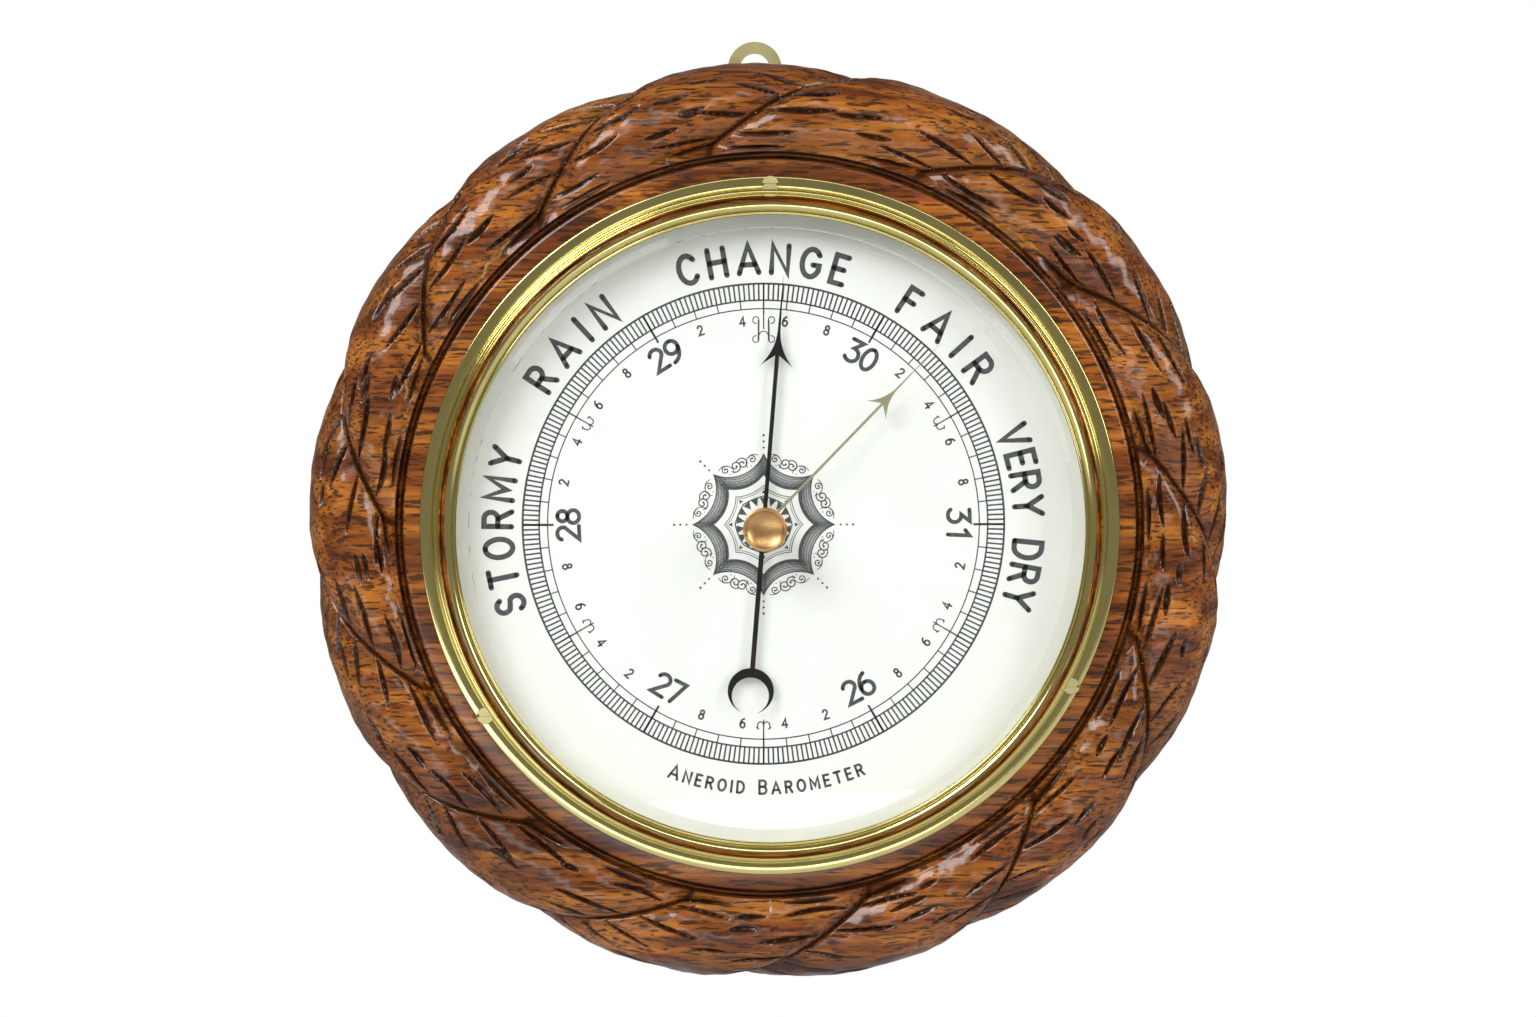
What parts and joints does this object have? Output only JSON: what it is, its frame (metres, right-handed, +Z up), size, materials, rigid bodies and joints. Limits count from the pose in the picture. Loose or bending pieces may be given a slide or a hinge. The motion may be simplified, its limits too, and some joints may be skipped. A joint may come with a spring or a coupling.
{
  "type": "aneroid barometer",
  "caption": "Round wall aneroid barometer with a carved oak rope-twist surround, brass bezel, bevelled glass, white printed dial, pressure hand, set hand and its movement.",
  "frame": {"origin": "on the wall plane, on the axis of the turned surround and bezel", "axes": "+Z up, +Y into the wall, the dial faces -Y, +X to the viewer's right"},
  "size_m": [0.225, 0.0443, 0.2301],
  "materials": {
    "oak": "carved, stained and varnished oak",
    "polished_brass": "polished and lacquered brass",
    "spun_brass": "spun brass with a dull lacquer",
    "movement_brass": "grained brass plate and turned brass",
    "gilt_knob": "polished copper-gold brass",
    "brass_hand": "thin brass sheet, worn lacquer",
    "blued_steel": "blued steel, nearly black",
    "spring_steel": "tempered spring steel",
    "bright_steel": "turned bright steel",
    "dark_iron": "blackened cast iron",
    "nickel_silver": "corrugated nickel silver sheet",
    "dial_white": "white glazed dial, printed in dark grey",
    "plate_glass": "clear bevelled plate glass",
    "leather": "plain leather washer"
  },
  "bodies": {
    "root": {"arbor_bridge": "movement_brass", "arbor_bridge_pillars": "movement_brass", "arbor_bridge_screws": "bright_steel", "arbor_cock": "movement_brass", "base_plate": "movement_brass", "base_plate_screws": "movement_brass", "bevelled_glass": "plate_glass", "bezel": "polished_brass", "bezel_screws": "polished_brass", "bracket_screws": "bright_steel", "bridge": "dark_iron", "bridge_screws": "bright_steel", "capsule_back_diaphragm": "nickel_silver", "capsule_front_diaphragm": "nickel_silver", "carved_surround": "oak", "cock_pillars": "movement_brass", "cock_screws": "bright_steel", "dial": "dial_white", "dial_pillars": "movement_brass", "dial_plate": "movement_brass", "dial_plate_screws": "bright_steel", "glass_bush": "movement_brass", "glass_bush_nut": "movement_brass", "glass_retaining_ring": "spun_brass", "glass_washers": "leather", "hairspring": "blued_steel", "hairspring_stud": "movement_brass", "hanging_plate": "polished_brass", "hanging_plate_screws": "spun_brass", "main_spring": "spring_steel", "movement_case": "spun_brass", "rocking_shaft_bracket": "movement_brass", "spring_clamp": "movement_brass", "spring_clamp_screws": "bright_steel"},
    "pressure_hand": {"pressure_hand": "blued_steel", "pressure_hand_collet": "movement_brass", "hand_arbor": "bright_steel", "chain_barrel": "movement_brass", "hairspring_collet": "movement_brass"},
    "set_hand": {"set_hand": "brass_hand", "set_hand_boss": "movement_brass", "set_hand_knob": "gilt_knob"},
    "rocking_shaft": {"rocking_shaft": "bright_steel"},
    "main_lever": {"main_lever": "spring_steel", "lever_screws": "bright_steel", "link_rod": "movement_brass", "capsule_post": "bright_steel", "knife_edge_pin": "blued_steel"},
    "chain": {"chain": "spring_steel"},
    "adjusting_screw": {"adjusting_screw": "bright_steel"}
  },
  "joints": [
    {"name": "pressure_hand_turn", "type": "hinge", "parent": "root", "child": "pressure_hand", "pos_m": [-0.0016, -0.0286, 0.0006], "axis": [0, 1, 0], "range_deg": [-214.5, 85.5], "stiffness_Nm_per_rad": 0.0005, "deforming": ["hairspring"]},
    {"name": "rocking_shaft_turn", "type": "hinge", "parent": "root", "child": "rocking_shaft", "pos_m": [-0.0016, -0.0096, -0.0394], "axis": [1, 0, 0], "range_deg": [-8.6, 21.5]},
    {"name": "main_lever_tilt", "type": "hinge", "parent": "root", "child": "main_lever", "pos_m": [-0.0016, -0.0134, 0.0226], "axis": [1, 0, 0], "range_deg": [-0.91, 0.37], "deforming": ["main_spring"]},
    {"name": "chain_pull", "type": "slide", "parent": "root", "child": "chain", "axis": [0, 0, 1], "range_m": [-0.0042, 0.0017]},
    {"name": "set_hand_turn", "type": "hinge", "parent": "root", "child": "set_hand", "pos_m": [-0.0016, -0.0316, 0.0006], "axis": [0, 1, 0], "continuous": true},
    {"name": "adjusting_screw_turn", "type": "hinge", "parent": "root", "child": "adjusting_screw", "pos_m": [0.0334, -0.0014, 0.0126], "axis": [0, 1, 0], "continuous": true}
  ],
  "couplings": [
    {"joint": "rocking_shaft_turn", "follows": "pressure_hand_turn", "ratio": -0.1},
    {"joint": "main_lever_tilt", "follows": "pressure_hand_turn", "ratio": 0.0042},
    {"joint": "chain_pull", "follows": "pressure_hand_turn", "m_per_rad": 0.0011}
  ]
}
